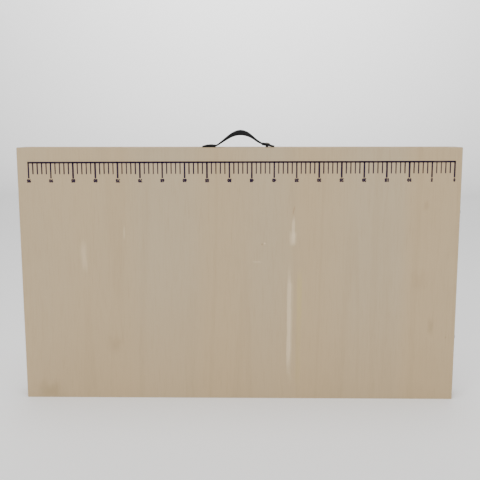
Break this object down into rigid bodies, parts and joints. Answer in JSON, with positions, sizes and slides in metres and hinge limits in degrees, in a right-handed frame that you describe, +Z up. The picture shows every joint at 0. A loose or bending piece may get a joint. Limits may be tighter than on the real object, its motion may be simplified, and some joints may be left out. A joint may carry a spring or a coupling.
{
  "type": "folding pasting table",
  "caption": "Folding wallpaper pasting table shown folded like a suitcase: plywood faces with a printed centimetre scale, softwood rails, swing-out legs and a black strap handle.",
  "frame": {"origin": "middle of the footprint of the folded case standing on its lower long edge", "axes": "+X along the case from the hinged end to the latched end, -Y out of the printed face of the front section, +Z up towards the handle"},
  "size_m": [0.9998, 0.0696, 0.619],
  "materials": {
    "plywood_face": "sanded bare plywood, matt",
    "rail_wood": "planed bare softwood, matt",
    "leg_wood": "planed bare softwood, matt",
    "zinc_plate": "zinc-plated pressed steel",
    "zinc_screw": "zinc-plated screw",
    "brass_screw": "brass-plated screw",
    "black_moulding": "moulded black plastic, satin",
    "glide_plastic": "moulded grey-brown plastic",
    "scale_ink": "printed indigo-black ink"
  },
  "bodies": {
    "front_section": {"front_bearer": "rail_wood", "front_centre_batten": "rail_wood", "front_corner_screws": "zinc_screw", "front_end_rail": "rail_wood", "front_hinge_rail": "rail_wood", "front_hinge_screws": "zinc_screw", "front_lower_hinge_leaf": "zinc_plate", "front_lower_rail": "rail_wood", "front_middle_hinge_leaf": "zinc_plate", "front_pivot_screws": "zinc_screw", "front_pivot_spacers": "glide_plastic", "front_stay_pins": "zinc_plate", "front_table_top": "plywood_face", "front_upper_hinge_leaf": "zinc_plate", "front_upper_rail": "rail_wood", "handle_left_cap": "black_moulding", "handle_right_cap": "black_moulding", "handle_screws": "brass_screw", "handle_strap": "black_moulding", "handle_washers": "brass_screw", "hinge_pins": "zinc_plate", "latch_hook_screws": "zinc_screw"},
    "rear_section": {"latch_keeper_screws": "zinc_screw", "rear_bearer": "rail_wood", "rear_centre_batten": "rail_wood", "rear_corner_screws": "zinc_screw", "rear_end_rail": "rail_wood", "rear_hinge_rail": "rail_wood", "rear_hinge_screws": "zinc_screw", "rear_lower_hinge_leaf": "zinc_plate", "rear_lower_rail": "rail_wood", "rear_middle_hinge_leaf": "zinc_plate", "rear_pivot_screws": "zinc_screw", "rear_pivot_spacers": "glide_plastic", "rear_stay_pins": "zinc_plate", "rear_table_top": "plywood_face", "rear_upper_hinge_leaf": "zinc_plate", "rear_upper_rail": "rail_wood"},
    "front_leg_frame": {"front_crossbar_screws": "zinc_screw", "front_foot_glides": "glide_plastic", "front_low_crossbar": "leg_wood", "front_lower_leg": "leg_wood", "front_middle_crossbar": "leg_wood", "front_stay_rivets": "zinc_plate", "front_top_crossbar": "leg_wood", "front_upper_leg": "leg_wood"},
    "rear_leg_frame": {"rear_crossbar_screws": "zinc_screw", "rear_foot_glides": "glide_plastic", "rear_low_crossbar": "leg_wood", "rear_lower_leg": "leg_wood", "rear_middle_crossbar": "leg_wood", "rear_stay_rivets": "zinc_plate", "rear_top_crossbar": "leg_wood", "rear_upper_leg": "leg_wood"},
    "front_lower_brace": {"front_lower_stay": "zinc_plate"},
    "front_upper_brace": {"front_upper_stay": "zinc_plate"},
    "rear_lower_brace": {"rear_lower_stay": "zinc_plate"},
    "rear_upper_brace": {"rear_upper_stay": "zinc_plate"},
    "lower_hook": {"lower_latch_hook": "zinc_plate"},
    "upper_hook": {"upper_latch_hook": "zinc_plate"}
  },
  "joints": [
    {"name": "case_fold", "type": "hinge", "parent": "front_section", "child": "rear_section", "pos_m": [-0.4957, 0, 0.29075], "axis": [0, 0, 1], "range_deg": [0, 180]},
    {"name": "front_leg_fold", "type": "hinge", "parent": "front_section", "child": "front_leg_frame", "pos_m": [0.4662, -0.0163, 0.29075], "axis": [0, 0, 1], "range_deg": [-90, 0]},
    {"name": "rear_leg_fold", "type": "hinge", "parent": "rear_section", "child": "rear_leg_frame", "pos_m": [0.4662, 0.0163, 0.29075], "axis": [0, 0, 1], "range_deg": [0, 90]},
    {"name": "front_lower_stay_swing", "type": "hinge", "parent": "front_leg_frame", "child": "front_lower_brace", "pos_m": [0.2162, -0.0163, 0.0234], "axis": [0, 0, 1], "range_deg": [0, 138]},
    {"name": "front_upper_stay_swing", "type": "hinge", "parent": "front_leg_frame", "child": "front_upper_brace", "pos_m": [0.2162, -0.0163, 0.5261], "axis": [0, 0, 1], "range_deg": [0, 138]},
    {"name": "rear_lower_stay_swing", "type": "hinge", "parent": "rear_leg_frame", "child": "rear_lower_brace", "pos_m": [0.2162, 0.0163, 0.0554], "axis": [0, 0, 1], "range_deg": [-138, 0]},
    {"name": "rear_upper_stay_swing", "type": "hinge", "parent": "rear_leg_frame", "child": "rear_upper_brace", "pos_m": [0.2162, 0.0163, 0.5581], "axis": [0, 0, 1], "range_deg": [-138, 0]},
    {"name": "lower_hook_swing", "type": "hinge", "parent": "front_section", "child": "lower_hook", "pos_m": [0.4975, -0.0158, 0.14538], "axis": [1, 0, 0], "range_deg": [-270, 60]},
    {"name": "upper_hook_swing", "type": "hinge", "parent": "front_section", "child": "upper_hook", "pos_m": [0.4975, -0.0158, 0.43612], "axis": [1, 0, 0], "range_deg": [-270, 60]}
  ],
  "couplings": [
    {"joint": "front_leg_fold", "follows": "case_fold", "ratio": -0.5},
    {"joint": "rear_leg_fold", "follows": "case_fold", "ratio": 0.5},
    {"joint": "front_lower_stay_swing", "follows": "case_fold", "ratio": 0.76667},
    {"joint": "front_upper_stay_swing", "follows": "case_fold", "ratio": 0.76667},
    {"joint": "rear_lower_stay_swing", "follows": "case_fold", "ratio": -0.76667},
    {"joint": "rear_upper_stay_swing", "follows": "case_fold", "ratio": -0.76667}
  ]
}
